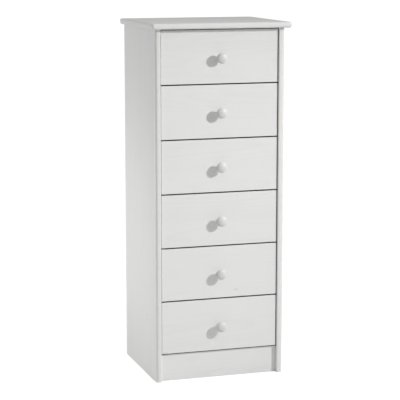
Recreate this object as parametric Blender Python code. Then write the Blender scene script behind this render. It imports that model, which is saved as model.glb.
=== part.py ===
"""Tall chest of six drawers in white-stained pine, with turned wooden knobs and wooden runners.

The origin is on the floor under the middle of the top. X runs across the front, Y from the front to the
back and Z up. Lengths are in metres.
"""

import math

import bmesh
import bpy
from mathutils import Matrix, Vector
from mathutils.geometry import interpolate_bezier

# Whole chest
HEIGHT = 1.190
TOP_WIDTH = 0.480
TOP_DEPTH = 0.410
TOP_THICKNESS = 0.019
DRAWERS = 6

# Clearances
JOINT_GAP = 0.0003  # between pieces that touch
DRAWER_GAP = 0.004  # above and below each drawer front
SIDE_GAP = 0.0024  # at each side of a drawer
OVERCUT = 0.002  # how far a cutter reaches past the face that it opens

# Carcass
PANEL_THICKNESS = 0.020
SIDE_OVERHANG = 0.017  # of the top past a side panel
NOSE_OVERHANG = 0.0255  # of the top past the side panels' rounded front edges
NOSE_REVEAL = 0.0065  # of those rounded edges past the drawer fronts
NOSE_OUTER = 0.010  # radius of their outer rounding
NOSE_INNER = 0.003  # radius of their inner rounding
PLINTH_SETBACK = 0.008
PLINTH_THICKNESS = 0.018
RAIL_THICKNESS = 0.018
RAIL_DEPTH = 0.060
RAIL_SETBACK = 0.004  # behind the drawer fronts
BACK_THICKNESS = 0.0032
BACK_REBATE = 0.010  # width of the side panels' rear rebates
BACK_LIFT = 0.012  # the back panel's lower edge above the floor

# Drawer
FRONT_HEIGHT = 0.1754
FRONT_THICKNESS = 0.018
LAP_DEPTH = 0.009  # of the rebates in the front that take the drawer sides
SIDE_THICKNESS = 0.015
SIDE_LIFT = 0.012  # the sides' lower edges above the front's
SIDE_HEIGHT = 0.130
BOX_DEPTH = 0.355  # front face to the sides' rear ends
BOTTOM_THICKNESS = 0.004
BOTTOM_LIFT = 0.008  # the bottom's groove above the sides' lower edges
BOTTOM_GROOVE = 0.006
HOUSING_DEPTH = 0.004  # of the grooves in the sides that take the drawer back
BACK_INSET = 0.012  # the drawer back in front of the sides' rear ends
BACK_BOARD = 0.015
BACK_DROP = 0.004  # the drawer back's upper edge below the sides'

# Runners, which fit in a groove in each drawer side
GROOVE_HEIGHT = 0.016
GROOVE_DEPTH = 0.008
GROOVE_LIFT = 0.057  # above the drawer side's lower edge
GROOVE_START = 0.045  # its blind end, behind the drawer's front face
RUNNER_HEIGHT = 0.0145
RUNNER_THICKNESS = 0.0094
RUNNER_BACK_GAP = 0.016  # to the back panel

# Knob and its screw: radii, and distances out from the drawer's front face
KNOB_FOOT_RADIUS = 0.0095
KNOB_FOOT = 0.0015
KNOB_COVE_RADIUS = 0.0062  # which the hollow round the neck is drawn towards
KNOB_COVE = (0.0048, 0.017)  # between these distances
KNOB_RADIUS = 0.018
KNOB_UNDERSIDE = 0.0198
KNOB_RIM = 0.0022  # radius of the rounding under the head
KNOB_PROJECTION = 0.0315
KNOB_DROP = 0.004  # its axis below the middle of the drawer front
SCREW_RADIUS = 0.002
SCREW_REACH = 0.0165
SCREW_HEAD_RADIUS = 0.004
SCREW_HEAD = 0.0026
BORE_DEPTH = 0.018

# Edges and facets
TOP_CORNER = 0.010
TOP_EDGE = 0.007
FRONT_EDGE = 0.002
BOARD_EDGE = 0.001
EDGE_STEPS = 3
NOSE_STEPS = 8
SLOT_STEPS = 10
CURVE_STEPS = 7
RIM_STEPS = 3
CROWN_STEPS = 4
KNOB_STEPS = 32
SCREW_STEPS = 16
SHARP_ANGLE = math.radians(40)

# Levels that follow from the sizes above
UNDER_TOP = HEIGHT - TOP_THICKNESS
OUTER = TOP_WIDTH / 2 - SIDE_OVERHANG
INNER = OUTER - PANEL_THICKNESS
FRONT_PLANE = -TOP_DEPTH / 2 + NOSE_OVERHANG + NOSE_REVEAL
REAR = TOP_DEPTH / 2
PITCH = FRONT_HEIGHT + DRAWER_GAP
PLINTH_HEIGHT = UNDER_TOP - DRAWERS * PITCH - DRAWER_GAP
BACK_FACE = REAR - BACK_THICKNESS - JOINT_GAP
BOX_OUTER = INNER - SIDE_GAP
BOX_INNER = BOX_OUTER - SIDE_THICKNESS
BOTTOM_LEVEL = SIDE_LIFT + BOTTOM_LIFT
GROOVE_CENTRE = SIDE_LIFT + GROOVE_LIFT + GROOVE_HEIGHT / 2
GROOVE_NOSE = GROOVE_START + GROOVE_HEIGHT / 2  # centre of the half-round ends
RUNNER_CENTRE = GROOVE_CENTRE + (GROOVE_HEIGHT - RUNNER_HEIGHT) / 2 - JOINT_GAP
BACK_REAR = BOX_DEPTH - BACK_INSET
KNOB_LEVEL = FRONT_HEIGHT / 2 - KNOB_DROP


def clear_scene():
    for obj in list(bpy.data.objects):
        bpy.data.objects.remove(obj, do_unlink=True)


def finish(name, colour, roughness, metallic=0.0):
    material = bpy.data.materials.new(name)
    material.use_nodes = True
    shader = material.node_tree.nodes["Principled BSDF"]
    shader.inputs["Base Color"].default_value = (*colour, 1.0)
    shader.inputs["Roughness"].default_value = roughness
    shader.inputs["Metallic"].default_value = metallic
    material.diffuse_color = (*colour, 1.0)
    return material


def add_object(name, bm, material=None, parent=None, location=(0, 0, 0)):
    bmesh.ops.recalc_face_normals(bm, faces=bm.faces)
    mesh = bpy.data.meshes.new(name)
    bm.to_mesh(mesh)
    bm.free()
    if material:
        mesh.materials.append(material)
    obj = bpy.data.objects.new(name, mesh)
    obj.location = location
    obj.parent = parent
    bpy.context.scene.collection.objects.link(obj)
    return obj


def add_box(bm, low, high):
    low, high = Vector(low), Vector(high)
    place = Matrix.Translation((low + high) / 2) @ Matrix.Diagonal((*(high - low), 1.0))
    bmesh.ops.create_cube(bm, size=1.0, matrix=place)


def round_edges(obj, radius):
    bevel = obj.modifiers.new("rounded_edges", "BEVEL")
    bevel.width = radius
    bevel.segments = EDGE_STEPS
    bevel.limit_method = "ANGLE"
    bevel.angle_limit = SHARP_ANGLE


def shade_smooth(obj):
    obj.data.shade_smooth()
    obj.data.set_sharp_from_angle(angle=SHARP_ANGLE)


def board(name, low, high, material, edge=0.0, parent=None):
    """A board between two corners, with its own origin in its middle."""
    half = (Vector(high) - Vector(low)) / 2
    bm = bmesh.new()
    add_box(bm, -half, half)
    obj = add_object(name, bm, material, parent, Vector(low) + half)
    if edge:
        round_edges(obj, edge)
    return obj


def prism(outline, sweep):
    """A flat outline of 3-D points, carried along the sweep vector."""
    bm = bmesh.new()
    face = bm.faces.new([bm.verts.new(point) for point in outline])
    carried = bmesh.ops.extrude_face_region(bm, geom=[face])["geom"]
    verts = [item for item in carried if isinstance(item, bmesh.types.BMVert)]
    bmesh.ops.translate(bm, vec=sweep, verts=verts)
    return bm


def cut(obj, name, bm, parent=None):
    """Takes the shape away from obj. The cutter is only a helper."""
    cutter = add_object(name, bm, parent=parent)
    cutter.hide_render = True
    cutter.display_type = "WIRE"
    boolean = obj.modifiers.new(name, "BOOLEAN")
    boolean.operation = "DIFFERENCE"
    boolean.solver = "EXACT"
    boolean.object = cutter


def turn(profile, steps):
    """Turns a profile of (radius, distance out) points about the Y axis. Out is towards -Y."""
    bm = bmesh.new()
    verts = [bm.verts.new((radius, -out, 0)) for radius, out in profile]
    edges = [bm.edges.new(pair) for pair in zip(verts, verts[1:])]
    bmesh.ops.spin(
        bm, geom=verts + edges, cent=(0, 0, 0), axis=(0, 1, 0), angle=math.tau, steps=steps, use_merge=True
    )
    bmesh.ops.remove_doubles(bm, verts=bm.verts, dist=1e-6)
    return bm


def curve(start, start_handle, end_handle, end, steps):
    """Points on a Bezier curve from start to end, without start itself."""
    knots = [Vector((*point, 0)) for point in (start, start_handle, end_handle, end)]
    return [(point.x, point.y) for point in interpolate_bezier(*knots, steps + 1)[1:]]


def quarter(centre, radii, start, steps):
    """Points on a quarter of an ellipse that runs from the angle start, without its first point."""
    turns = [start + math.pi / 2 * step / steps for step in range(1, steps + 1)]
    return [(centre[0] + radii[0] * math.cos(turn), centre[1] + radii[1] * math.sin(turn)) for turn in turns]


# Carcass


def add_top(material):
    half = Vector((TOP_WIDTH, TOP_DEPTH, TOP_THICKNESS)) / 2
    bm = bmesh.new()
    add_box(bm, -half, half)
    corners = [edge for edge in bm.edges if abs(edge.verts[0].co.z - edge.verts[1].co.z) > half.z]
    bmesh.ops.bevel(bm, geom=corners, offset=TOP_CORNER, segments=EDGE_STEPS, profile=0.5, affect="EDGES")
    top = add_object("top_panel", bm, material, location=(0, 0, HEIGHT - half.z))
    round_edges(top, TOP_EDGE)


def add_side_panel(name, side, material):
    """side is -1 on the left and 1 on the right. The front edge is rounded more on the outside."""
    nose = FRONT_PLANE - NOSE_REVEAL
    rebate = INNER + BACK_REBATE
    inner_centre = (INNER + NOSE_INNER, nose + NOSE_INNER)
    outer_centre = (OUTER - NOSE_OUTER, nose + NOSE_OUTER)
    outline = [(INNER, nose + NOSE_INNER)]
    outline += quarter(inner_centre, (NOSE_INNER, NOSE_INNER), math.pi, NOSE_STEPS)
    outline += [(OUTER - NOSE_OUTER, nose)]
    outline += quarter(outer_centre, (NOSE_OUTER, NOSE_OUTER), -math.pi / 2, NOSE_STEPS)
    outline += [(OUTER, REAR), (rebate, REAR), (rebate, BACK_FACE), (INNER, BACK_FACE)]
    foot = [(side * x, y, 0) for x, y in outline]
    panel = add_object(name, prism(foot, (0, 0, UNDER_TOP - JOINT_GAP)), material)
    shade_smooth(panel)


def add_carcass(pine, hardboard):
    add_top(pine)
    add_side_panel("left_side_panel", -1, pine)
    add_side_panel("right_side_panel", 1, pine)
    reach = INNER - JOINT_GAP
    board(
        "back_panel",
        (-reach - BACK_REBATE, REAR - BACK_THICKNESS, BACK_LIFT),
        (reach + BACK_REBATE, REAR, UNDER_TOP - JOINT_GAP),
        hardboard,
    )
    plinth_face = FRONT_PLANE + PLINTH_SETBACK
    board(
        "plinth_board",
        (-reach, plinth_face, 0),
        (reach, plinth_face + PLINTH_THICKNESS, PLINTH_HEIGHT),
        pine,
        BOARD_EDGE,
    )
    rail_face = FRONT_PLANE + FRONT_THICKNESS + RAIL_SETBACK
    board(
        "front_top_rail",
        (-reach, rail_face, UNDER_TOP - JOINT_GAP - RAIL_THICKNESS),
        (reach, rail_face + RAIL_DEPTH, UNDER_TOP - JOINT_GAP),
        pine,
        BOARD_EDGE,
    )


def slot(height, centre, start, end):
    """The outline of a strip with a half-round front end, in the plane X = 0."""
    radius = height / 2
    turns = [math.pi * (0.5 + step / SLOT_STEPS) for step in range(SLOT_STEPS + 1)]
    nose = [(0, start + radius * math.cos(turn), centre + radius * math.sin(turn)) for turn in turns]
    return nose + [(0, end, centre - radius), (0, end, centre + radius)]


def add_runner(name, side, level, material):
    rear = BACK_FACE - RUNNER_BACK_GAP
    start = FRONT_PLANE + GROOVE_NOSE
    outline = [Vector(point) for point in slot(RUNNER_HEIGHT, level + RUNNER_CENTRE, start, rear)]
    middle = Vector((0, (start + rear) / 2, level + RUNNER_CENTRE))
    strip = prism([point - middle for point in outline], (-side * RUNNER_THICKNESS, 0, 0))
    runner = add_object(name, strip, material, location=middle + Vector((side * (INNER - JOINT_GAP), 0, 0)))
    shade_smooth(runner)


# Drawers, each in a frame of its own: the middle of its front's lower edge, on the front face


def add_front(name, frame, material):
    front = board(
        name, (-BOX_OUTER, 0, 0), (BOX_OUTER, FRONT_THICKNESS, FRONT_HEIGHT), material, FRONT_EDGE, frame
    )
    laps = bmesh.new()
    for side in (-1, 1):
        low, high = sorted((side * (BOX_INNER - JOINT_GAP), side * (BOX_OUTER + OVERCUT)))
        add_box(laps, (low, LAP_DEPTH, -OVERCUT), (high, FRONT_THICKNESS + OVERCUT, FRONT_HEIGHT + OVERCUT))
    cut(front, name + "_laps_cut", laps, frame)
    groove = bmesh.new()
    add_box(
        groove,
        (-BOX_INNER - OVERCUT, FRONT_THICKNESS - BOTTOM_GROOVE, BOTTOM_LEVEL),
        (BOX_INNER + OVERCUT, FRONT_THICKNESS + OVERCUT, BOTTOM_LEVEL + BOTTOM_THICKNESS + 2 * JOINT_GAP),
    )
    cut(front, name + "_groove_cut", groove, frame)
    radius = SCREW_RADIUS + JOINT_GAP
    inside = -FRONT_THICKNESS - OVERCUT
    hole = turn([(0, OVERCUT), (radius, OVERCUT), (radius, inside), (0, inside)], SCREW_STEPS)
    bmesh.ops.translate(hole, vec=(0, 0, KNOB_LEVEL), verts=hole.verts)
    cut(front, name + "_hole_cut", hole, frame)


def add_drawer_side(name, side, frame, material):
    faces = sorted((side * BOX_INNER, side * BOX_OUTER))
    low = (faces[0], LAP_DEPTH + JOINT_GAP, SIDE_LIFT)
    high = (faces[1], BOX_DEPTH, SIDE_LIFT + SIDE_HEIGHT)
    panel = board(name, low, high, material, BOARD_EDGE, frame)

    outline = slot(GROOVE_HEIGHT, GROOVE_CENTRE, GROOVE_NOSE, BOX_DEPTH + OVERCUT)
    runner_groove = prism(outline, (side * (GROOVE_DEPTH + OVERCUT), 0, 0))
    floor = side * (BOX_OUTER - GROOVE_DEPTH)
    bmesh.ops.translate(runner_groove, vec=(floor, 0, 0), verts=runner_groove.verts)
    cut(panel, name + "_runner_cut", runner_groove, frame)

    bottom_faces = sorted((side * (BOX_INNER - OVERCUT), side * (BOX_INNER + BOTTOM_GROOVE)))
    bottom_groove = bmesh.new()
    add_box(
        bottom_groove,
        (bottom_faces[0], 0, BOTTOM_LEVEL),
        (bottom_faces[1], BOX_DEPTH + OVERCUT, BOTTOM_LEVEL + BOTTOM_THICKNESS + 2 * JOINT_GAP),
    )
    cut(panel, name + "_bottom_cut", bottom_groove, frame)

    housing_faces = sorted((side * (BOX_INNER - OVERCUT), side * (BOX_INNER + HOUSING_DEPTH)))
    housing = bmesh.new()
    add_box(
        housing,
        (housing_faces[0], BACK_REAR - BACK_BOARD - JOINT_GAP, BOTTOM_LEVEL + BOTTOM_THICKNESS),
        (housing_faces[1], BACK_REAR + JOINT_GAP, SIDE_LIFT + SIDE_HEIGHT + OVERCUT),
    )
    cut(panel, name + "_housing_cut", housing, frame)


def knob_profile():
    """From the blind bore's end, down the bore, out over the foot, round the cove and over the head."""
    bore = SCREW_RADIUS + JOINT_GAP
    foot = (KNOB_FOOT_RADIUS, KNOB_FOOT)
    under_rim = (KNOB_RADIUS - KNOB_RIM, KNOB_UNDERSIDE)
    widest = KNOB_UNDERSIDE + KNOB_RIM
    handles = [(KNOB_COVE_RADIUS, out) for out in KNOB_COVE]
    profile = [(0, BORE_DEPTH), (bore, BORE_DEPTH), (bore, JOINT_GAP), (KNOB_FOOT_RADIUS, JOINT_GAP), foot]
    profile += curve(foot, *handles, under_rim, CURVE_STEPS)
    profile += quarter((KNOB_RADIUS - KNOB_RIM, widest), (KNOB_RIM, KNOB_RIM), -math.pi / 2, RIM_STEPS)
    profile += quarter((0, widest), (KNOB_RADIUS, KNOB_PROJECTION - widest), 0, CURVE_STEPS)
    return profile


def screw_profile():
    """From the tip to the middle of the round head, which is inside the drawer."""
    tip = SCREW_RADIUS / 2
    under_head = -FRONT_THICKNESS - JOINT_GAP
    edge = under_head - SCREW_HEAD / 3
    profile = [(0, SCREW_REACH), (tip, SCREW_REACH), (SCREW_RADIUS, SCREW_REACH - tip)]
    profile += [(SCREW_RADIUS, under_head), (SCREW_HEAD_RADIUS, under_head), (SCREW_HEAD_RADIUS, edge)]
    crown = quarter((0, edge), (SCREW_HEAD_RADIUS, under_head - SCREW_HEAD - edge), 0, CROWN_STEPS)
    return profile + crown


def add_drawer(number, level, pine, raw_pine, hardboard, steel):
    frame = bpy.data.objects.new(f"drawer_{number}_slide", None)
    frame.location = (0, FRONT_PLANE, level)
    bpy.context.scene.collection.objects.link(frame)
    name = f"drawer_{number}"
    add_front(name + "_front", frame, pine)
    add_drawer_side(name + "_left_side", -1, frame, raw_pine)
    add_drawer_side(name + "_right_side", 1, frame, raw_pine)
    back_reach = BOX_INNER + HOUSING_DEPTH - JOINT_GAP
    bottom_top = BOTTOM_LEVEL + JOINT_GAP + BOTTOM_THICKNESS
    board(
        name + "_back",
        (-back_reach, BACK_REAR - BACK_BOARD, bottom_top + JOINT_GAP),
        (back_reach, BACK_REAR, SIDE_LIFT + SIDE_HEIGHT - BACK_DROP),
        raw_pine,
        BOARD_EDGE,
        frame,
    )
    bottom_reach = BOX_INNER + BOTTOM_GROOVE - JOINT_GAP
    board(
        name + "_bottom",
        (-bottom_reach, FRONT_THICKNESS - BOTTOM_GROOVE + JOINT_GAP, BOTTOM_LEVEL + JOINT_GAP),
        (bottom_reach, BACK_REAR, bottom_top),
        hardboard,
        parent=frame,
    )
    middle = (0, 0, KNOB_LEVEL)
    knob = add_object(f"knob_{number}", turn(knob_profile(), KNOB_STEPS), pine, frame, middle)
    screw = add_object(f"knob_screw_{number}", turn(screw_profile(), SCREW_STEPS), steel, frame, middle)
    shade_smooth(knob)
    shade_smooth(screw)


def main():
    clear_scene()
    pine = finish("white_pine", (0.80, 0.79, 0.77), 0.45)
    raw_pine = finish("raw_pine", (0.78, 0.62, 0.42), 0.65)
    beech = finish("beech", (0.66, 0.46, 0.30), 0.50)
    hardboard = finish("hardboard", (0.46, 0.32, 0.20), 0.70)
    steel = finish("zinc_steel", (0.62, 0.62, 0.60), 0.35, 1.0)
    add_carcass(pine, hardboard)
    for number in range(1, DRAWERS + 1):
        level = UNDER_TOP - number * PITCH
        add_runner(f"runner_left_{number}", -1, level, beech)
        add_runner(f"runner_right_{number}", 1, level, beech)
        add_drawer(number, level, pine, raw_pine, hardboard, steel)


main()
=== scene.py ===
"""The looks of the tall chest of drawers: finely rounded boards, turned knobs, fasteners, timber finishes
that follow each board's grain, a pale studio, and the camera.

Lengths are in metres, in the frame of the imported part: X across the front, Y from front to back, Z up.
"""

import math
import random

import bmesh
import bpy
from mathutils import Matrix, Vector
from mathutils.geometry import interpolate_bezier


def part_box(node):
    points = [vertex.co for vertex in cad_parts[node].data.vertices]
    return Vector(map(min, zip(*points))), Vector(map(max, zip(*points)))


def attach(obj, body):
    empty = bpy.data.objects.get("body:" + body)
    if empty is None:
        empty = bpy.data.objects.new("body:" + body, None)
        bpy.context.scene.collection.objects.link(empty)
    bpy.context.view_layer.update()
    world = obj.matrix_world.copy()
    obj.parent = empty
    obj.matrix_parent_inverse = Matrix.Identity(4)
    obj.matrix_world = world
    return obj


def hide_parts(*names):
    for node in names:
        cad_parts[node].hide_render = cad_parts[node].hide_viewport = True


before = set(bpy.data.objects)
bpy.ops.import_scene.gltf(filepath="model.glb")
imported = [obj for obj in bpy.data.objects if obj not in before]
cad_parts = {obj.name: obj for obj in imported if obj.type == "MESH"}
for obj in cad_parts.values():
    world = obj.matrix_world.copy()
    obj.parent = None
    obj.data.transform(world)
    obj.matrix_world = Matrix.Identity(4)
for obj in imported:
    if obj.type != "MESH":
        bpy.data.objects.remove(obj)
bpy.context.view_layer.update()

DRAWERS = 6
GAP = 0.0003  # between pieces that touch
OVERCUT = 0.001  # how far a cutter reaches past the face that it opens
WEAR = "edge_wear"  # mesh attribute: 1 on rounded edges, 0 on flats
SMOOTH_ANGLE = math.radians(35)  # edges that turn more than this stay sharp in the shading
SHARP_ANGLE = math.radians(50)  # edges that turn more than this are rounded or eased
SLACK = 1e-6  # for comparing places
X, Y, Z = Vector((1, 0, 0)), Vector((0, 1, 0)), Vector((0, 0, 1))

# Boards
TOP_CORNER = 0.010
TOP_EDGE = 0.007
TOP_STEPS = 8
FRONT_EDGE = 0.001
FRONT_STEPS = 6
PLAIN_EDGE = 0.001
PLAIN_STEPS = 4
SHEET_EDGE = 0.0003
SHEET_STEPS = 2
PANEL_EASE = 0.0006
EASE_STEPS = 3
NOSE_OUTER = 0.010
NOSE_INNER = 0.003
NOSE_STEPS = 20
NOSE_WEAR = 0.8
RUNNER_EASE = 0.0007
RUNNER_RUB = 0.0006  # how far down a runner is rubbed
RUNNER_STEPS = 20

# Knob: a foot on the drawer front, a hollow neck and a domed head
KNOB_FOOT_RADIUS = 0.0095
KNOB_FOOT = 0.0015
KNOB_FOOT_EASE = 0.0004
KNOB_COVE_RADIUS = 0.0062
KNOB_COVE = (0.0048, 0.017)  # the neck's curve handles, out from the drawer front
KNOB_UNDERSIDE = 0.0198
KNOB_RIM = 0.0022
KNOB_STEPS = 72
COVE_STEPS = 20
RIM_STEPS = 8
CROWN_STEPS = 14
BORE_RADIUS = 0.0023
BORE_DEPTH = 0.018
BORE_STEPS = 32

# Screws
FASTENER_STEPS = 24
SHANK_RADIUS = 0.002
RECESS_WIDTH = 0.0011
RECESS_SPAN = 0.0042
RECESS_DEPTH = 0.0014
RECESS_MOUTH = 1.15  # of the span
RECESS_BOTTOM = 0.45  # of the span
PAN_RADIUS = 0.004
PAN_HEIGHT = 0.0026
PAN_CROWN = 0.62  # of the height
PAN_EASE = 0.0002
PAN_STEPS = 6
TIP_RADIUS = 0.0004
TIP_LENGTH = 0.003
FLAT_HEAD_RADIUS = 0.0036
FLAT_HEAD_DEPTH = 0.0026
FLAT_HEAD_RIM = 0.0003
FLAT_SET_IN = GAP / 3  # from the runner's face to the top of the head
FLAT_CORE = 0.8  # of the shank's radius
FLAT_SHANK_END = 0.0075
FLAT_TIP = 0.0085
SINK_RIM = 0.0004
SINK_DEPTH = 0.0088
RUNNER_SCREWS = (0.055, 0.245)  # behind the runner's front end

# Nails and pins, whose heads are low domes
NAIL_RADIUS = 0.0016
NAIL_RISE = 0.0004
NAIL_PITCH = 0.11
NAIL_INSET = 0.0045  # from the sheet's sides
NAIL_END = 0.012  # from the sheet's ends
NAIL_STRAY = (0.0006, 0.004)  # sideways, and up or down
NAIL_SEED = 11
TOP_NAILS = 3
TOP_NAIL_INSET = 0.009
PINS = 4
PIN_RADIUS = 0.0009
PIN_RISE = 0.0002
PIN_INSET = 0.0055
PIN_END = 0.018
PIN_STRAY = (0.0006, 0.002)
DOME_STEPS = 16
DOME_CROWN_STEPS = 4
DOME_FOOT = 0.92  # of the radius
DOME_LIFT = 0.08  # of the rise, as are the next two
DOME_RIM = 0.2
DOME_CROWN = 0.72

# Where the white finish ends and painted shade in the gaps takes over
FINISH_TO_PAINTED_SHADE = (0.0005, 0.0014)  # behind the fronts' faces, where painted shade, a near-black tone that darkens the gaps, takes over
UPWARD = 0.7  # a face whose normal rises more than this looks up

# How the timber grew. Rates are cycles per metre along the grain, across it and through the board.
LOG_SHIFT = 7.0  # the most that a stave lies further along its log than its neighbour
KNOT_CELL = (0.42, 0.13)  # along and across the grain, with one place for a knot in each
KNOT_SQUEEZE = 0.7  # makes knots longer along the grain
KNOT_RADII = (0.003, 0.0075)
KNOT_FADE = 1.2  # of a knot's radius
KNOT_PUSH = 0.007  # how far rings are pushed aside
KNOT_PUSH_REACH = 0.022
WANDER_RATE = 0.9
WANDER = 0.05
PITH_DEPTH = 0.06
PITH_ASIDE = 0.06
RIPPLE_RATES = (6.0, 40.0, 1.0)
RIPPLE = 0.0022
RING_SPREAD = (0.75, 1.35)  # of the mean ring width
LATE_RISE = (0.35, 0.86)  # the part of a ring where late wood sets in
LATE_FALL = (0.90, 0.99)
LATE_POWER = 1.6
FIBRE_RATES = (9.0, 520.0, 1.0)
DUCT_RATES = (110.0, 1500.0, 1.0)
DUCT_EDGE = (0.72, 0.80)
CLOUD_RATES = (1.6, 14.0, 1.0)
SCUFF_SCALE = 38.0
SCUFF_EDGE = (0.46, 0.66)
HIDDEN_SHARES = (0.6, 0.4)  # of late wood and fibre in the tone of hidden faces

# How the timber shines and how its surface rises
WOOD_IOR = 1.47
FIBRE_ROUGHNESS = 0.16
LATE_ROUGHNESS = -0.05
WORN_ROUGHNESS = 0.12
HIDDEN_ROUGHNESS = 0.5
FIBRE_HEIGHT = 0.55
LATE_HEIGHT = 0.45
DUCT_HEIGHT = -0.5
KNOT_HEIGHT = 0.35

WHITE = {
    "light": (0.815, 0.815, 0.810),
    "dark": (0.69, 0.68, 0.66),
    "bare": (0.79, 0.76, 0.70),
    "knot_colour": (0.52, 0.48, 0.43),
    "knot_tone": 0.22,
    "ring_tone": 0.11,
    "fibre_tone": 0.22,
    "cloud_tone": 0.26,
    "stave_tone": 0.14,
    "duct_tone": 0.20,
    "stave": 0.085,
    "ring": 0.0042,
    "knots": 0.16,
    "wear": 0.5,
    "roughness": 0.46,
    "relief": 0.00012,
    "coat": 0.12,
    "coat_roughness": 0.32,
}
RAW = {
    "light": (0.80, 0.66, 0.45),
    "dark": (0.60, 0.38, 0.19),
    "bare": (0.84, 0.71, 0.52),
    "knot_colour": (0.30, 0.15, 0.07),
    "knot_tone": 0.85,
    "ring_tone": 0.75,
    "fibre_tone": 0.40,
    "cloud_tone": 0.35,
    "stave_tone": 0.25,
    "duct_tone": 0.45,
    "stave": 0.075,
    "ring": 0.0034,
    "knots": 0.35,
    "wear": 0.5,
    "roughness": 0.66,
    "relief": 0.00018,
    "coat": 0.0,
    "coat_roughness": 0.5,
}
TURNED = WHITE | {"light": (0.69, 0.69, 0.685), "dark": (0.60, 0.595, 0.58), "bare": (0.67, 0.65, 0.61)}
# painted shade: near-black tones for the faces inside the gaps round the drawer fronts, so that the gaps
# look dark
GAP_PAINTED_SHADE = {"light": (0.12, 0.12, 0.12), "dark": (0.08, 0.08, 0.08)}
BEECH = {
    "light": (0.74, 0.54, 0.36),
    "dark": (0.60, 0.40, 0.25),
    "fleck": (0.40, 0.22, 0.12),
    "rubbed": (0.80, 0.62, 0.44),
    "band_rates": (60.0, 2.0, 60.0),
    "band_edge": (0.2, 0.8),
    "fleck_rates": (900.0, 160.0, 900.0),
    "fleck_edge": (0.62, 0.72),
    "fleck_tone": 0.55,
    "rub_scale": 30.0,
    "rub_edge": (0.45, 0.65),
    "rub_tone": 0.5,
    "rub_roughness": -0.18,
    "roughness": (0.50, 0.62),
    "relief": 0.00008,
}
HARDBOARD = {
    "dark": (0.34, 0.21, 0.12),
    "light": (0.55, 0.39, 0.24),
    "swirl_scale": 90.0,
    "swirl": 0.012,
    "lying_rates": (160.0, 900.0, 1.0),
    "crossing_rates": (900.0, 1.0, 160.0),
    "thread_edge": (0.3, 0.8),
    "thread_share": 0.6,
    "patch_scale": 7.0,
    "patch_share": 0.5,
    "shade_edge": (0.35, 0.75),
    "roughness": (0.42, 0.60),
    "relief": 0.00010,
    "ior": 1.5,
}
ZINC = {
    "blue": (0.66, 0.67, 0.70),
    "yellow": (0.78, 0.76, 0.70),
    "dirt": (0.34, 0.33, 0.31),
    "film_scale": 420.0,
    "film_edge": (0.3, 0.7),
    "dirt_scale": 1300.0,
    "dirt_edge": (0.55, 0.75),
    "dirt_tone": 0.4,
    "dirt_roughness": 0.2,
    "roughness": (0.24, 0.36),
    "relief": 0.00003,
}

# Floor and sky
FLOOR_REACH = 150.0
FLOOR_ROUGHNESS = 0.9
FLOOR_SPECULAR = 0.1
FLOOR_SEEN_GLOW = 0.92
FLOOR_SEEN_COLOUR = (0.22, 0.22, 0.22)
FLOOR_GIVEN_GLOW = 0.0
FLOOR_GIVEN_COLOUR = (0.7, 0.7, 0.7)
FLOOR_GIVEN_DROP = 0.0005  # so that the two floors don't share a plane
SKY_ZENITH = 0.60
SKY_HORIZON = 0.41

# Lamps: the key throws the knobs' shadows, and the other two light the left side panel
KEY_PLACE = (1.77, -1.73, 1.83)
KEY_AIM = (-3.0, -0.17, -1.05)
KEY_CONE = math.radians(81)
KEY_RADIUS = 0.10
KEY_POWER = 232.0
REAR_PLACE = (-2.2, 1.2, 0.5)
REAR_AIM = (-0.22, 0.0, 0.4)
REAR_SIZE = 0.6
REAR_POWER = 13.8
SIDE_PLACE = (-2.4, 0.5, 0.8)
SIDE_AIM = (-0.22, 0.10, 0.42)
SIDE_CONE = math.radians(30)
SIDE_RADIUS = 0.25
SIDE_POWER = 38.0

# Camera, fitted to the photograph
CAMERA_PLACE = (-1.553, -4.881, 1.433)
CAMERA_DOWN = math.radians(9.48)  # below the horizon
CAMERA_RIGHT = math.radians(17.50)  # to the right of straight ahead
CAMERA_LENS = 136.60
CAMERA_SENSOR = 36.0
CAMERA_CLIP_END = 500.0


# ---------------------------------------------------------------- mesh


def block(low, high):
    low, high = Vector(low), Vector(high)
    bm = bmesh.new()
    place = Matrix.Translation((high + low) / 2) @ Matrix.Diagonal((*(high - low), 1))
    bmesh.ops.create_cube(bm, size=1, matrix=place)
    return bm


def round_edges(bm, edges, radius, steps):
    bmesh.ops.bevel(bm, geom=edges, offset=radius, segments=steps, profile=0.5, affect="EDGES")


def rounded_box(low, high, radius, steps):
    """A block with rounded edges and corners, with its wear marked."""
    bm = block(low, high)
    round_edges(bm, bm.edges[:], radius, steps)
    mark_wear(bm, low, high, radius)
    return bm


def mark_wear(bm, low, high, radius):
    """A vertex is worn where it lies in the rounding zone of two or three axes at once."""
    layer = bm.verts.layers.float.new(WEAR)
    for vert in bm.verts:
        reach = [min(vert.co[i] - low[i], high[i] - vert.co[i]) < radius - SLACK for i in range(3)]
        vert[layer] = float(sum(reach) > 1)


def turn(profile, steps, origin, axis=-Y):
    """A closed solid turned round axis, from (radius, distance along the axis) points."""
    bm = bmesh.new()
    bm.verts.layers.float.new(WEAR)
    side = X if abs(axis.x) < 0.5 else Y
    up = axis.cross(side)
    angles = [2 * math.pi * step / steps for step in range(steps)]
    spokes = [side * math.cos(angle) + up * math.sin(angle) for angle in angles]
    rings = []
    for radius, along in profile:
        centre = Vector(origin) + axis * along
        points = [centre + spoke * radius for spoke in spokes] if radius else [centre]
        rings.append([bm.verts.new(point) for point in points])
    for first, second in zip(rings, rings[1:]):
        for k in range(steps):
            following = (k + 1) % steps
            corners = [first[k % len(first)], first[following % len(first)]]
            corners += [second[following % len(second)], second[k % len(second)]]
            bm.faces.new(list(dict.fromkeys(corners)))
    bmesh.ops.recalc_face_normals(bm, faces=bm.faces[:])
    return bm


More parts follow.
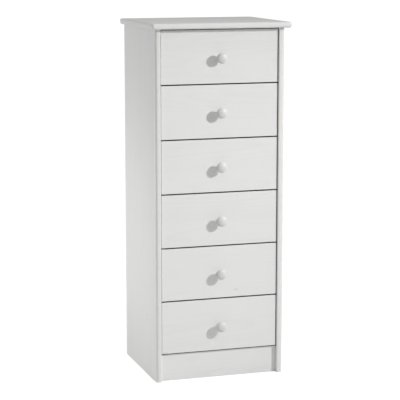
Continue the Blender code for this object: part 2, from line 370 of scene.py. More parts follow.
def prism(outline, depth):
    """outline is a list of points, pushed along the vector depth."""
    bm = bmesh.new()
    bm.verts.layers.float.new(WEAR)
    base = bm.faces.new([bm.verts.new(point) for point in outline])
    pushed = bmesh.ops.extrude_face_region(bm, geom=[base])
    tops = [item for item in pushed["geom"] if isinstance(item, bmesh.types.BMVert)]
    bmesh.ops.translate(bm, verts=tops, vec=depth)
    bmesh.ops.recalc_face_normals(bm, faces=bm.faces[:])
    return bm


def sharp_edges(bm):
    return [edge for edge in bm.edges if edge.calc_face_angle() > SHARP_ANGLE]


def carve(bm, cutters):
    """Takes the cutters, which are bmeshes, out of bm and returns the mesh that is left."""
    body = bpy.data.objects.new("carve_body", to_mesh("carve_body", bm))
    bpy.context.scene.collection.objects.link(body)
    tools = []
    for cutter in cutters:
        tool = bpy.data.objects.new("carve_tool", to_mesh("carve_tool", cutter))
        bpy.context.scene.collection.objects.link(tool)
        modifier = body.modifiers.new("carve", "BOOLEAN")
        modifier.operation = "DIFFERENCE"
        modifier.solver = "EXACT"
        modifier.object = tool
        tools.append(tool)
    graph = bpy.context.evaluated_depsgraph_get()
    mesh = bpy.data.meshes.new_from_object(body.evaluated_get(graph))
    for used in [body, *tools]:
        bpy.data.objects.remove(used, do_unlink=True)
    return mesh


def to_mesh(name, bm):
    mesh = bpy.data.meshes.new(name)
    bm.to_mesh(mesh)
    bm.free()
    return mesh


def smooth(obj):
    """Smooth shading that keeps flats flat and creases sharp."""
    obj.data.shade_smooth()
    obj.data.set_sharp_from_angle(angle=SMOOTH_ANGLE)
    modifier = obj.modifiers.new("normals", "WEIGHTED_NORMAL")
    modifier.keep_sharp = True
    modifier.weight = 100


def piece(name, mesh, material, body, replaced=(), offset=None):
    """Adds a piece that rides on body and stands for the CAD nodes in replaced."""
    if isinstance(mesh, bmesh.types.BMesh):
        mesh = to_mesh(name, mesh)
    if offset:
        mesh.transform(Matrix.Translation(offset))
    mesh.name = name
    mesh.materials.clear()
    mesh.materials.append(material)
    obj = bpy.data.objects.new(name, mesh)
    bpy.context.scene.collection.objects.link(obj)
    smooth(obj)
    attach(obj, body)
    if replaced:
        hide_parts(*replaced)


def arc(centre, radius, start, end, steps):
    """Points (u, v) on a circular arc, both ends included."""
    angles = [start + (end - start) * step / steps for step in range(steps + 1)]
    return [(centre[0] + radius * math.cos(a), centre[1] + radius * math.sin(a)) for a in angles]


def quarter_turn(steps):
    """Angles that divide a quarter turn, without its two ends."""
    return [math.pi / 2 * step / steps for step in range(1, steps)]


def stray(most):
    return random.uniform(-most, most)


def joined(parts):
    """One bmesh holding several closed solids."""
    whole = bmesh.new()
    for part in parts:
        mesh = to_mesh("part", part)
        whole.from_mesh(mesh)
        bpy.data.meshes.remove(mesh)
    return whole


# ---------------------------------------------------------------- materials


class Shader:
    """One material's nodes. Its methods take and return sockets, and take numbers as well."""

    def __init__(self, name):
        self.material = bpy.data.materials.new(name)
        self.material.use_nodes = True
        self.tree = self.material.node_tree
        self.bsdf = self.tree.nodes["Principled BSDF"]
        self.place = self.node("ShaderNodeTexCoord").outputs["Object"]

    def node(self, kind, inputs=(), **settings):
        """A new node, with its settings made and its inputs linked or set."""
        node = self.tree.nodes.new(kind)
        for key, value in settings.items():
            setattr(node, key, value)
        for key, value in dict(inputs).items():
            if isinstance(value, bpy.types.NodeSocket):
                self.tree.links.new(value, node.inputs[key])
            else:
                node.inputs[key].default_value = value
        return node

    def math(self, operation, *values, clamp=False):
        inputs = {index: value for index, value in enumerate(values)}
        return self.node("ShaderNodeMath", inputs, operation=operation, use_clamp=clamp).outputs[0]

    def split(self, vector):
        return self.node("ShaderNodeSeparateXYZ", {0: vector}).outputs[:]

    def join(self, x, y, z):
        return self.node("ShaderNodeCombineXYZ", {0: x, 1: y, 2: z}).outputs[0]

    def scaled(self, values, rates):
        """A vector of three values, each times its rate."""
        return self.join(*[self.math("MULTIPLY", value, rate) for value, rate in zip(values, rates)])

    def swing(self, value, amount, middle):
        """middle, plus amount times how far value lies above a half."""
        return self.math("MULTIPLY_ADD", self.math("SUBTRACT", value, 0.5), amount, middle)

    def distance(self, first, second):
        """The length of a step of first and second at right angles."""
        squares = [self.math("MULTIPLY", value, value) for value in (first, second)]
        return self.math("SQRT", self.math("ADD", *squares))

    def noise(self, vector, scale=1.0, detail=2.0, roughness=0.5):
        inputs = {"Vector": vector, "Scale": scale, "Detail": detail, "Roughness": roughness}
        return self.node("ShaderNodeTexNoise", inputs).outputs[0]

    def chances(self, value):
        """Three random numbers from 0 to 1 that depend on value."""
        node = self.node("ShaderNodeTexWhiteNoise", {"W": value}, noise_dimensions="1D")
        return self.split(node.outputs["Color"])

    def span(self, value, low, high, to_low=0.0, to_high=1.0, smooth_step=False):
        """value from low..high to to_low..to_high, clamped."""
        kind = "SMOOTHSTEP" if smooth_step else "LINEAR"
        inputs = {"Value": value, "From Min": low, "From Max": high, "To Min": to_low, "To Max": to_high}
        return self.node("ShaderNodeMapRange", inputs, interpolation_type=kind).outputs[0]

    def mix(self, factor, first, second):
        """A colour between two, which are sockets or (red, green, blue)."""
        sockets = bpy.types.NodeSocket
        first, second = [c if isinstance(c, sockets) else (*c, 1.0) for c in (first, second)]
        return self.node("ShaderNodeMix", {0: factor, 6: first, 7: second}, data_type="RGBA").outputs[2]

    def wear(self):
        return self.node("ShaderNodeAttribute", attribute_name=WEAR).outputs["Fac"]

    def colour(self, socket):
        self.tree.links.new(socket, self.bsdf.inputs["Base Color"])

    def roughness(self, socket):
        self.tree.links.new(socket, self.bsdf.inputs["Roughness"])

    def bump(self, height, distance):
        node = self.node("ShaderNodeBump", {"Height": height, "Distance": distance, "Strength": 1.0})
        self.tree.links.new(node.outputs[0], self.bsdf.inputs["Normal"])

    def fixed(self, **values):
        """Values that are the same all over, on the shader's own sockets."""
        for name, value in values.items():
            self.bsdf.inputs[name.replace("_", " ")].default_value = value


def behind_faces(s, place):
    """Two masks: painted shade in the gaps round the drawer fronts, raw from the fronts' rear faces on.
    """
    low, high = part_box("drawer_1_front")
    # painted shade: dark marks the faces inside the gaps, from just behind the fronts' faces on
    dark = s.span(place["Y"], low.y + FINISH_TO_PAINTED_SHADE[0], low.y + FINISH_TO_PAINTED_SHADE[1], smooth_step=True)
    raw = s.math("GREATER_THAN", place["Y"], high.y - GAP)
    return dark, raw


def on_fronts(s, place):
    """The same masks, with the painted shade only on the upper edges, which are what shows through the
    gaps between the fronts.
    """
    dark, raw = behind_faces(s, place)
    _, _, facing = s.split(s.node("ShaderNodeNewGeometry").outputs["Normal"])
    return s.math("MULTIPLY", dark, s.math("GREATER_THAN", facing, UPWARD)), raw


def inside_carcass(s, place):
    """The same masks, painted shade in the gaps and raw timber further in, only on the top's underside
    and on the side panels' inner faces.
    """
    under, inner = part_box("top_panel")[0].z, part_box("right_side_panel")[0].x
    above = s.math("GREATER_THAN", place["Z"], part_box("plinth_board")[1].z)
    below = s.math("LESS_THAN", place["Z"], under + PANEL_EASE)
    within = s.math("LESS_THAN", s.math("ABSOLUTE", place["X"]), inner + PANEL_EASE)
    faces_drawers = s.math("MULTIPLY", within, s.math("MULTIPLY", above, below))
    return [s.math("MULTIPLY", mask, faces_drawers) for mask in behind_faces(s, place)]


def glued_staves(s, grain, across, look, seed):
    """Each stave has its own chances and place along the log. Returns its number, its chances, the place
    across it from its middle, and the place along its log."""
    counted = s.math("MULTIPLY_ADD", across, 1 / look["stave"], seed)
    stave = s.math("FLOOR", counted)
    chances = s.chances(stave)
    inside = s.math("SUBTRACT", s.math("SUBTRACT", counted, stave), 0.5)
    inside = s.math("MULTIPLY", inside, look["stave"])
    along = s.math("MULTIPLY_ADD", chances[2], LOG_SHIFT, grain)
    return stave, chances, inside, along


def scattered_knots(s, along, across, stave, look):
    """The knots' mask, and how far they push the rings aside."""
    length, width = KNOT_CELL
    cell = s.scaled((along, across, stave), (1 / length, 1 / width, 1.0))
    knots = s.node("ShaderNodeTexVoronoi", {"Vector": cell, "Scale": 1.0}, feature="F1")
    knot_x, knot_y, _ = s.split(knots.outputs["Position"])
    cell_x, cell_y, _ = s.split(cell)
    off_x = s.math("MULTIPLY", s.math("SUBTRACT", cell_x, knot_x), length * KNOT_SQUEEZE)
    off_y = s.math("MULTIPLY", s.math("SUBTRACT", cell_y, knot_y), width)
    distance = s.distance(off_x, off_y)
    chance, size, _ = s.split(knots.outputs["Color"])
    present = s.math("GREATER_THAN", chance, 1 - look["knots"])
    radius = s.span(size, 0.0, 1.0, *KNOT_RADII)
    outer = s.math("MULTIPLY", radius, KNOT_FADE)
    knot = s.math("SUBTRACT", 1.0, s.span(distance, radius, outer, smooth_step=True))
    push = s.span(distance, 0.0, KNOT_PUSH_REACH, KNOT_PUSH, 0.0, smooth_step=True)
    return s.math("MULTIPLY", knot, present), s.math("MULTIPLY", push, present)


def late_wood(s, log, inside, stave, chances, push, look, seed):
    """The dark part of each growth ring. Rings are shells round a heart that wanders along the log."""
    along, _, depth = log
    pith_chance, width_chance, _ = chances
    wander = s.noise(s.scaled((along, stave, seed), (WANDER_RATE, 1.0, 1.0)), detail=1.0)
    pith_depth = s.math("MULTIPLY_ADD", wander, WANDER, s.span(width_chance, 0.0, 1.0, 0.0, PITH_DEPTH))
    pith_across = s.span(pith_chance, 0.0, 1.0, -PITH_ASIDE, PITH_ASIDE)
    near = s.math("SUBTRACT", inside, pith_across)
    far = s.math("ADD", depth, pith_depth)
    ripple = s.noise(s.scaled(log, RIPPLE_RATES), detail=2.0)
    radius = s.math("MULTIPLY_ADD", ripple, RIPPLE, s.math("ADD", s.distance(near, far), push))
    narrow, wide = [look["ring"] * part for part in RING_SPREAD]
    ring = s.math("FRACT", s.math("DIVIDE", radius, s.span(width_chance, 0.0, 1.0, narrow, wide)))
    late = s.math("MULTIPLY", s.span(ring, *LATE_RISE), s.span(ring, *LATE_FALL, 1.0, 0.0))
    return s.math("POWER", late, LATE_POWER)


def timber(name, axes, look, seed, hidden=None):
    """Softwood boards glued side by side. axes names the grain, across and depth directions of the board.
    hidden gives the masks of where shade is painted in the gaps and where the timber is left bare."""
    s = Shader(name)
    place = dict(zip("XYZ", s.split(s.place)))
    grain, across, depth = [place[axis] for axis in axes]
    stave, chances, inside, along = glued_staves(s, grain, across, look, seed)
    knot, push = scattered_knots(s, along, across, stave, look)
    log = (along, across, depth)
    late = late_wood(s, log, inside, stave, chances, push, look, seed)
    fibre = s.noise(s.scaled(log, FIBRE_RATES), detail=3.0, roughness=0.6)
    duct = s.span(s.noise(s.scaled(log, DUCT_RATES), detail=0.0), *DUCT_EDGE)
    cloud = s.noise(s.scaled((along, across, seed), CLOUD_RATES), detail=3.0)
    scuff = s.span(s.noise(s.place, scale=SCUFF_SCALE, detail=4.0), *SCUFF_EDGE)
    worn = s.math("MULTIPLY", s.wear(), s.math("MULTIPLY", scuff, look["wear"]))

    stain = s.math("MULTIPLY", late, look["ring_tone"])
    stain = s.swing(fibre, look["fibre_tone"], stain)
    stain = s.swing(cloud, look["cloud_tone"], stain)
    stain = s.swing(chances[2], look["stave_tone"], stain)
    stain = s.math("MULTIPLY_ADD", duct, look["duct_tone"], stain, clamp=True)
    tint = s.mix(stain, look["light"], look["dark"])
    tint = s.mix(s.math("MULTIPLY", knot, look["knot_tone"]), tint, look["knot_colour"])
    tint = s.mix(worn, tint, look["bare"])
    gloss = s.swing(fibre, FIBRE_ROUGHNESS, look["roughness"])
    gloss = s.math("MULTIPLY_ADD", late, LATE_ROUGHNESS, gloss)
    gloss = s.math("MULTIPLY_ADD", worn, WORN_ROUGHNESS, gloss, clamp=True)
    if hidden:
        painted_shade_mask, raw_mask = hidden(s, place)
        late_share, fibre_share = HIDDEN_SHARES
        tone = s.math("MULTIPLY_ADD", late, late_share, s.math("MULTIPLY", fibre, fibre_share))
        # painted shade: near-black tones on the faces inside the gaps round the drawer fronts
        tint = s.mix(painted_shade_mask, tint, s.mix(tone, GAP_PAINTED_SHADE["light"], GAP_PAINTED_SHADE["dark"]))
        tint = s.mix(raw_mask, tint, s.mix(tone, RAW["light"], RAW["dark"]))
        matt = s.math("MAXIMUM", painted_shade_mask, raw_mask)
        gloss = s.math("MULTIPLY_ADD", matt, HIDDEN_ROUGHNESS, gloss, clamp=True)
    s.colour(tint)
    s.roughness(gloss)

    height = s.math("MULTIPLY_ADD", fibre, FIBRE_HEIGHT, s.math("MULTIPLY", late, LATE_HEIGHT))
    height = s.math("MULTIPLY_ADD", duct, DUCT_HEIGHT, height)
    s.bump(s.math("MULTIPLY_ADD", knot, KNOT_HEIGHT, height), look["relief"])
    s.fixed(IOR=WOOD_IOR, Coat_Weight=look["coat"], Coat_Roughness=look["coat_roughness"])
    return s.material


def beech(name, look):
    """Dense hardwood: faint bands and the short dark flecks of its rays."""
    s = Shader(name)
    place = s.split(s.place)
    band = s.noise(s.scaled(place, look["band_rates"]))
    fleck = s.span(s.noise(s.scaled(place, look["fleck_rates"]), detail=1.0), *look["fleck_edge"])
    tint = s.mix(band, look["light"], look["dark"])
    tint = s.mix(s.math("MULTIPLY", fleck, look["fleck_tone"]), tint, look["fleck"])
    polish = s.span(s.noise(s.place, scale=look["rub_scale"], detail=3.0), *look["rub_edge"])
    rubbed = s.math("MULTIPLY", s.wear(), polish)
    s.colour(s.mix(s.math("MULTIPLY", rubbed, look["rub_tone"]), tint, look["rubbed"]))
    gloss = s.span(band, *look["band_edge"], *look["roughness"])
    s.roughness(s.math("MULTIPLY_ADD", rubbed, look["rub_roughness"], gloss))
    s.bump(s.math("SUBTRACT", band, fleck), look["relief"])
    s.fixed(IOR=WOOD_IOR)
    return s.material


def hardboard(name, look):
    """Pressed wood fibre: matted flakes and threads under a smooth face."""
    s = Shader(name)
    warp_inputs = {"Vector": s.place, "Scale": look["swirl_scale"], "Detail": 2.0}
    warp = s.node("ShaderNodeTexNoise", warp_inputs).outputs["Color"]
    twist = s.node("ShaderNodeVectorMath", {0: warp, "Scale": look["swirl"]}, operation="SCALE")
    swirl = s.node("ShaderNodeVectorMath", {0: s.place, 1: twist.outputs[0]}, operation="ADD")
    swirled = s.split(swirl.outputs[0])
    lying = s.noise(s.scaled(swirled, look["lying_rates"]), detail=3.0)
    crossing = s.noise(s.scaled(swirled, look["crossing_rates"]), detail=3.0)
    thread = s.math("MAXIMUM", lying, crossing)
    patch = s.noise(s.place, scale=look["patch_scale"], detail=3.0)
    threads = s.math("MULTIPLY", thread, look["thread_share"])
    shade = s.span(s.math("MULTIPLY_ADD", patch, look["patch_share"], threads), *look["shade_edge"])
    s.colour(s.mix(shade, look["dark"], look["light"]))
    s.roughness(s.span(thread, *look["thread_edge"], *look["roughness"]))
    s.bump(thread, look["relief"])
    s.fixed(IOR=look["ior"])
    return s.material


def zinc(name, look):
    """Bright zinc plate: a pale blue-grey metal with a cloudy passivated film."""
    s = Shader(name)
    film = s.noise(s.place, scale=look["film_scale"], detail=3.0)
    dirt = s.span(s.noise(s.place, scale=look["dirt_scale"], detail=2.0), *look["dirt_edge"])
    tint = s.mix(film, look["blue"], look["yellow"])
    s.colour(s.mix(s.math("MULTIPLY", dirt, look["dirt_tone"]), tint, look["dirt"]))
    gloss = s.span(film, *look["film_edge"], *look["roughness"])
    s.roughness(s.math("MULTIPLY_ADD", dirt, look["dirt_roughness"], gloss))
    s.bump(film, look["relief"])
    s.fixed(Metallic=1.0)
    return s.material


# ---------------------------------------------------------------- carcass


def build_top(material):
    low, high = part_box("top_panel")
    bm = block(low, high)
    upright = (high.z - low.z) / 2
    corners = [edge for edge in bm.edges if abs(edge.verts[0].co.z - edge.verts[1].co.z) > upright]
    round_edges(bm, corners, TOP_CORNER, TOP_STEPS)
    round_edges(bm, sharp_edges(bm), TOP_EDGE, TOP_STEPS)
    mark_wear(bm, low, high, TOP_EDGE)
    piece("top_board", bm, material, "carcass", ["top_panel"])


def build_side(side, node, material):
    """side is -1 on the left and 1 on the right. The front edge is rounded, more on the outside, and the
    rear edge has a rebate for the back panel."""
    low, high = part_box(node)
    back_low, back_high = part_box("back_panel")
    outer, inner = sorted((low.x, high.x), key=abs, reverse=True)
    quarter = math.pi / 2
    outer_centre = (abs(outer) - NOSE_OUTER, low.y + NOSE_OUTER)
    inner_centre = (abs(inner) + NOSE_INNER, low.y + NOSE_INNER)
    outline = arc(outer_centre, NOSE_OUTER, 0.0, -quarter, NOSE_STEPS)
    outline += arc(inner_centre, NOSE_INNER, -quarter, -2 * quarter, NOSE_STEPS)
    outline = [(side * x, y) for x, y in outline]
    seat = (back_high.x if side > 0 else back_low.x) + side * GAP
    floor = back_low.y - GAP
    outline += [(inner, floor), (seat, floor), (seat, high.y), (outer, high.y)]
    bm = prism([(x, y, low.z) for x, y in outline], (0, 0, high.z - low.z))
    round_edges(bm, sharp_edges(bm), PANEL_EASE, EASE_STEPS)
    layer = bm.verts.layers.float[WEAR]
    for vert in bm.verts:
        ends = min(vert.co.z - low.z, high.z - vert.co.z) < PANEL_EASE / 2
        vert[layer] = NOSE_WEAR if ends or vert.co.y < low.y + NOSE_INNER / 2 else 0.0
    name = "left_side_board" if side < 0 else "right_side_board"
    piece(name, bm, material, "carcass", [node])


def build_plain_board(name, node, material):
    board = rounded_box(*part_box(node), PLAIN_EDGE, PLAIN_STEPS)
    piece(name, board, material, "carcass", [node])


def build_back(material, steel):
    """The sheet's rear face lies a little inside the frame's box, and the nail heads rise to it."""
    low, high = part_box("back_panel")
    face = high.y - NAIL_RISE
    sheet = rounded_box(low, (high.x, face, high.z), SHEET_EDGE, SHEET_STEPS)
    piece("back_sheet", sheet, material, "carcass", ["back_panel"])
    rows = [low.x + NAIL_INSET, high.x - NAIL_INSET]
    count = round((high.z - low.z - 2 * NAIL_INSET) / NAIL_PITCH)
    random.seed(NAIL_SEED)
    places = []
    for k in range(count + 1):
        level = low.z + NAIL_END + (high.z - low.z - 2 * NAIL_END) * k / count
        for row in rows:
            places.append((row + stray(NAIL_STRAY[0]), face, level + stray(NAIL_STRAY[1])))
    for k in range(1, TOP_NAILS + 1):
        x = low.x + (high.x - low.x) * k / (TOP_NAILS + 1)
        places.append((x, face, high.z - TOP_NAIL_INSET))
    heads = [dome(place, Y, NAIL_RADIUS, NAIL_RISE) for place in places]
    piece("back_nails", joined(heads), steel, "carcass")


def dome(base, axis, radius, rise):
    """A low round head lying on a face."""
    start = rise * DOME_LIFT
    rim = start + rise * DOME_RIM
    crown = rise * DOME_CROWN
    profile = [(0, start), (radius * DOME_FOOT, start), (radius, rim)]
    turns = quarter_turn(DOME_CROWN_STEPS)
    profile += [(radius * math.cos(t), rim + crown * math.sin(t)) for t in turns]
    profile.append((0, rim + crown))
    return turn(profile, DOME_STEPS, base, axis)


def cross_cutter(centre, axis):
    """A cross recess: two tapered slots at right angles, sunk from centre against axis."""
    side = Z
    other = axis.cross(side)
    whole = []
    for first, second in ((side, other), (other, side)):
        bm = bmesh.new()
        for level, spread in ((OVERCUT, RECESS_MOUTH), (-RECESS_DEPTH, RECESS_BOTTOM)):
            for s, t in ((1, 1), (-1, 1), (-1, -1), (1, -1)):
                out = first * s * RECESS_SPAN / 2 * spread + second * t * RECESS_WIDTH / 2
                bm.verts.new(centre + out + axis * level)
        bm.verts.ensure_lookup_table()
        top, bottom = bm.verts[0:4], bm.verts[4:8]
        bm.faces.new(top)
        bm.faces.new(bottom)
        for k in range(4):
            bm.faces.new((top[k], top[(k + 1) % 4], bottom[(k + 1) % 4], bottom[k]))
        bmesh.ops.recalc_face_normals(bm, faces=bm.faces[:])
        whole.append(bm)
    return whole


def flat_screw(face, axis):
    """A countersunk screw head whose top lies just under face, with a cross recess and a short shank."""
    top = -FLAT_SET_IN
    core = SHANK_RADIUS * FLAT_CORE
    profile = [(0, top), (FLAT_HEAD_RADIUS, top), (FLAT_HEAD_RADIUS, top - FLAT_HEAD_RIM)]
    profile += [(core, top - FLAT_HEAD_DEPTH), (core, -FLAT_SHANK_END), (0, -FLAT_TIP)]
    bm = turn(profile, FASTENER_STEPS, face, axis)
    mesh = carve(bm, cross_cutter(face + axis * top, axis))
    cut = bmesh.new()
    cut.from_mesh(mesh)
    bpy.data.meshes.remove(mesh)
    return cut


def sink_cutter(face, axis):
    reach = FLAT_HEAD_RADIUS + GAP
    profile = [(0, OVERCUT), (reach, OVERCUT), (reach, -SINK_RIM - FLAT_SET_IN)]
    profile += [(SHANK_RADIUS, -FLAT_HEAD_DEPTH - GAP), (SHANK_RADIUS, -SINK_DEPTH), (0, -SINK_DEPTH)]
    return turn(profile, FASTENER_STEPS, face, axis)


def build_runners(side, material, steel):
    """One runner and its two screws are made, then copied up the side panel."""
    word = "left" if side < 0 else "right"
    low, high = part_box(f"runner_{word}_1")
    radius = (high.z - low.z) / 2
    middle = (high.z + low.z) / 2
    outline = arc((low.y + radius, middle), radius, math.pi / 2, 3 * math.pi / 2, RUNNER_STEPS)
    outline += [(high.y, low.z), (high.y, high.z)]
    bm = prism([(low.x, y, z) for y, z in outline], (high.x - low.x, 0, 0))
    round_edges(bm, sharp_edges(bm), RUNNER_EASE, EASE_STEPS)
    layer = bm.verts.layers.float[WEAR]
    for vert in bm.verts:
        vert[layer] = float(vert.co.z > high.z - RUNNER_RUB)
    inward = Vector((-side, 0, 0))
    face_x = low.x if side > 0 else high.x
    faces = [Vector((face_x, low.y + out, middle)) for out in RUNNER_SCREWS]
    wood = carve(bm, [sink_cutter(face, inward) for face in faces])
    screws = to_mesh("screws", joined([flat_screw(face, inward) for face in faces]))
    for k in range(1, DRAWERS + 1):
        node = f"runner_{word}_{k}"
        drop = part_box(node)[0] - low
        piece(f"runner_{word}_{k}_wood", wood.copy(), material, "carcass", [node], drop)
        piece(f"runner_{word}_{k}_screws", screws.copy(), steel, "carcass", (), drop)


# ---------------------------------------------------------------- drawers


def front_mesh():
    """The top drawer's front, rebated for the drawer sides, grooved for the bottom, and bored."""
    low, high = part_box("drawer_1_front")
    left_low, left_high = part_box("drawer_1_left_side")
    right_low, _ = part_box("drawer_1_right_side")
    bottom_low, bottom_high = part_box("drawer_1_bottom")
    screw_low, screw_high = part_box("knob_screw_1")
    under, rear, over = low.z - OVERCUT, high.y + OVERCUT, high.z + OVERCUT
    left_rebate = [(low.x - OVERCUT, left_low.y - GAP, under), (left_high.x + GAP, rear, over)]
    right_rebate = [(right_low.x - GAP, right_low.y - GAP, under), (high.x + OVERCUT, rear, over)]
    groove = [
        (left_high.x - OVERCUT, bottom_low.y - GAP, bottom_low.z - GAP),
        (right_low.x + OVERCUT, rear, bottom_high.z + GAP),
    ]
    cutters = [rounded_box(*rebate, GAP, 1) for rebate in (left_rebate, right_rebate)]
    cutters.append(rounded_box(*groove, GAP / 3, 1))
    middle = (screw_low + screw_high) / 2
    start = (middle.x, low.y - OVERCUT, middle.z)
    length = high.y - low.y + 2 * OVERCUT
    bore = [(0, 0), (BORE_RADIUS, 0), (BORE_RADIUS, length), (0, length)]
    cutters.append(turn(bore, BORE_STEPS, start, Y))
    return carve(rounded_box(low, high, FRONT_EDGE, FRONT_STEPS), cutters)


def knob_mesh():
    low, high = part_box("knob_1")
    centre = (low + high) / 2
    base = (centre.x, high.y + GAP, centre.z)
    radius = (high.x - low.x) / 2
    reach = high.y - low.y + GAP
    widest = KNOB_UNDERSIDE + KNOB_RIM
    profile = [(0, BORE_DEPTH), (BORE_RADIUS, BORE_DEPTH), (BORE_RADIUS, GAP)]
    profile += [(KNOB_FOOT_RADIUS - KNOB_FOOT_EASE, GAP), (KNOB_FOOT_RADIUS, GAP + KNOB_FOOT_EASE)]
    neck_low = Vector((KNOB_FOOT_RADIUS, KNOB_FOOT, 0))
    neck_high = Vector((radius - KNOB_RIM, KNOB_UNDERSIDE, 0))
    handles = [Vector((KNOB_COVE_RADIUS, out, 0)) for out in KNOB_COVE]
    neck = interpolate_bezier(neck_low, *handles, neck_high, COVE_STEPS)
    profile.append((KNOB_FOOT_RADIUS, KNOB_FOOT))
    profile += [(point.x, point.y) for point in neck[1:]]
    profile += arc((radius - KNOB_RIM, widest), KNOB_RIM, -math.pi / 2, 0, RIM_STEPS)[1:]
    turns = quarter_turn(CROWN_STEPS)
    profile += [(radius * math.cos(t), widest + (reach - widest) * math.sin(t)) for t in turns]
    profile.append((0, reach))
    return to_mesh("knob", turn(profile, KNOB_STEPS, base))


def knob_screw_mesh():
    """A pan head screw, driven from inside the drawer, with a cross recess."""
    low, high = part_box("knob_screw_1")
    centre = (low + high) / 2
    head = Vector((centre.x, high.y, centre.z))
    crown = PAN_CROWN * PAN_HEIGHT
    profile = [(PAN_RADIUS * math.sin(t), crown * (1 - math.cos(t))) for t in quarter_turn(PAN_STEPS)]
    profile = [(0, 0), *profile, (PAN_RADIUS, crown)]
    profile += [(PAN_RADIUS, PAN_HEIGHT - PAN_EASE), (PAN_RADIUS - PAN_EASE, PAN_HEIGHT)]
    tip = high.y - low.y
    profile += [(SHANK_RADIUS, PAN_HEIGHT), (SHANK_RADIUS, tip - TIP_LENGTH), (TIP_RADIUS, tip), (0, tip)]
    return carve(turn(profile, FASTENER_STEPS, head), cross_cutter(head, Y))


def build_pins(number, word, steel):
    """Panel pins through a drawer side's front end, where it laps the drawer front."""
    low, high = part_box(f"drawer_{number}_{word}_side")
    side = -1 if word == "left" else 1
    face = low.x if side < 0 else high.x
    random.seed(100 * number + side)
    heads = []
    for k in range(PINS):
        level = low.z + PIN_END + (high.z - low.z - 2 * PIN_END) * k / (PINS - 1) + stray(PIN_STRAY[1])
        place = (face, low.y + PIN_INSET + stray(PIN_STRAY[0]), level)
        heads.append(dome(place, X * side, PIN_RADIUS, PIN_RISE))
    piece(f"drawer_{number}_{word}_pins", joined(heads), steel, f"drawer_{number}")


def build_drawers(white, turned, steel):
    """The front, knob and screw of the top drawer are made, then copied down."""
    front, knob, screw = front_mesh(), knob_mesh(), knob_screw_mesh()
    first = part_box("drawer_1_front")[0]
    for number in range(1, DRAWERS + 1):
        body = f"drawer_{number}"
        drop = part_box(f"{body}_front")[0] - first
        piece(f"{body}_face", front.copy(), white, body, [f"{body}_front"], drop)
        piece(f"{body}_knob", knob.copy(), turned, body, [f"knob_{number}"], drop)
        screw_node = f"knob_screw_{number}"
        piece(f"{body}_knob_screw", screw.copy(), steel, body, [screw_node], drop)
        build_pins(number, "left", steel)
        build_pins(number, "right", steel)


def dress(node, material):
    """A CAD node that stays gets its finish and smooth shading."""
    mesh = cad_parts[node].data
    mesh.materials.clear()
    mesh.materials.append(material)
    mesh.shade_smooth()
    mesh.set_sharp_from_angle(angle=SMOOTH_ANGLE)


# ---------------------------------------------------------------- studio


def build_floor(name, glow, colour):
    mesh = bpy.data.meshes.new(name)
    corners = [(x * FLOOR_REACH, y * FLOOR_REACH, 0) for x, y in ((-1, -1), (1, -1), (1, 1), (-1, 1))]
    mesh.from_pydata(corners, [], [(0, 1, 2, 3)])
    floor = bpy.data.objects.new(name, mesh)
    bpy.context.scene.collection.objects.link(floor)
    s = Shader(name)
    s.fixed(Base_Color=(*colour, 1.0), Roughness=FLOOR_ROUGHNESS, Specular_IOR_Level=FLOOR_SPECULAR)
    s.fixed(Emission_Color=(1.0, 1.0, 1.0, 1.0), Emission_Strength=glow)
    mesh.materials.append(s.material)
    return floor


def build_floors():
    """A white floor that only the camera sees, and with it a greyer one that lights the chest."""
    seen = build_floor("floor_seen", FLOOR_SEEN_GLOW, FLOOR_SEEN_COLOUR)
    seen.visible_diffuse = False
    seen.visible_glossy = False
    seen.visible_shadow = False
    given = build_floor("floor_given", FLOOR_GIVEN_GLOW, FLOOR_GIVEN_COLOUR)
    given.visible_camera = False
    given.location.z = -FLOOR_GIVEN_DROP


def build_sky():
    """White where the camera sees it. Otherwise dim near the horizon and brighter overhead."""
    world = bpy.data.worlds.new("studio")
    bpy.context.scene.world = world
    world.use_nodes = True
    tree = world.node_tree
    background = tree.nodes["Background"]
    background.inputs["Color"].default_value = (1.0, 1.0, 1.0, 1.0)
    place = tree.nodes.new("ShaderNodeTexCoord").outputs["Generated"]
    split = tree.nodes.new("ShaderNodeSeparateXYZ")
    tree.links.new(place, split.inputs[0])
    rise = tree.nodes.new("ShaderNodeMapRange")
    rise.inputs["To Min"].default_value = SKY_HORIZON
    rise.inputs["To Max"].default_value = SKY_ZENITH
    tree.links.new(split.outputs[2], rise.inputs["Value"])
    seen = tree.nodes.new("ShaderNodeLightPath").outputs["Is Camera Ray"]
    choose = tree.nodes.new("ShaderNodeMix")
    tree.links.new(seen, choose.inputs[0])
    tree.links.new(rise.outputs[0], choose.inputs[2])
    choose.inputs[3].default_value = 1.0
    tree.links.new(choose.outputs[0], background.inputs["Strength"])


def area_light(name, place, target, size, power):
    light = bpy.data.lights.new(name, "AREA")
    light.shape = "SQUARE"
    light.size = size
    aim_light(light, place, target, power)


def spot_light(name, place, target, cone, radius, power):
    light = bpy.data.lights.new(name, "SPOT")
    light.spot_size = cone
    light.spot_blend = 1.0
    light.shadow_soft_size = radius
    aim_light(light, place, target, power)


def aim_light(light, place, target, power):
    light.energy = power
    obj = bpy.data.objects.new(light.name, light)
    obj.location = place
    obj.rotation_euler = (Vector(target) - Vector(place)).to_track_quat("-Z", "Y").to_euler()
    obj.visible_camera = False
    bpy.context.scene.collection.objects.link(obj)


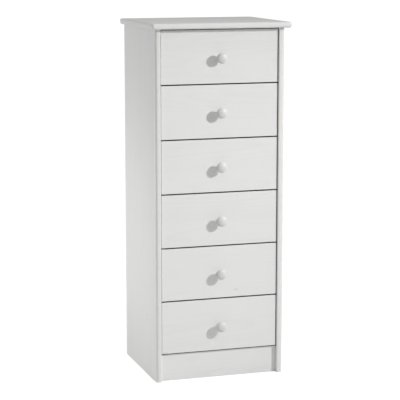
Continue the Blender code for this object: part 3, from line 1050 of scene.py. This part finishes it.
def build_camera():
    data = bpy.data.cameras.new("camera")
    data.lens = CAMERA_LENS
    data.sensor_width = CAMERA_SENSOR
    data.clip_end = CAMERA_CLIP_END
    camera = bpy.data.objects.new("camera", data)
    camera.location = CAMERA_PLACE
    camera.rotation_euler = (math.pi / 2 - CAMERA_DOWN, 0, -CAMERA_RIGHT)
    bpy.context.scene.collection.objects.link(camera)
    bpy.context.scene.camera = camera


# ---------------------------------------------------------------- the chest

top_finish = timber("white_pine_top", "XYZ", WHITE, 3.4, inside_carcass)
side_finish = timber("white_pine_upright", "ZYX", WHITE, 5.2, inside_carcass)
front_finish = timber("white_pine_front", "XZY", WHITE, 8.7, on_fronts)
plinth_finish = timber("white_pine_plinth", "XZY", WHITE, 8.7, on_fronts)
knob_finish = timber("white_pine_turned", "YXZ", TURNED, 1.3)
raw_side_finish = timber("raw_pine_side", "YZX", RAW, 2.1)
raw_back_finish = timber("raw_pine_back", "XZY", RAW, 6.6)
beech_finish = beech("beech_runner", BEECH)
board_finish = hardboard("hardboard_sheet", HARDBOARD)
steel_finish = zinc("zinc_steel_screw", ZINC)

build_top(top_finish)
build_side(-1, "left_side_panel", side_finish)
build_side(1, "right_side_panel", side_finish)
build_plain_board("plinth", "plinth_board", plinth_finish)
build_plain_board("top_rail", "front_top_rail", front_finish)
build_back(board_finish, steel_finish)
build_runners(-1, beech_finish, steel_finish)
build_runners(1, beech_finish, steel_finish)
build_drawers(front_finish, knob_finish, steel_finish)
for number in range(1, DRAWERS + 1):
    dress(f"drawer_{number}_left_side", raw_side_finish)
    dress(f"drawer_{number}_right_side", raw_side_finish)
    dress(f"drawer_{number}_back", raw_back_finish)
    dress(f"drawer_{number}_bottom", board_finish)

build_floors()
build_sky()
spot_light("key", KEY_PLACE, KEY_AIM, KEY_CONE, KEY_RADIUS, KEY_POWER)
area_light("rear_fill", REAR_PLACE, REAR_AIM, REAR_SIZE, REAR_POWER)
spot_light("side_fill", SIDE_PLACE, SIDE_AIM, SIDE_CONE, SIDE_RADIUS, SIDE_POWER)
build_camera()
bpy.context.scene.view_settings.view_transform = "Standard"
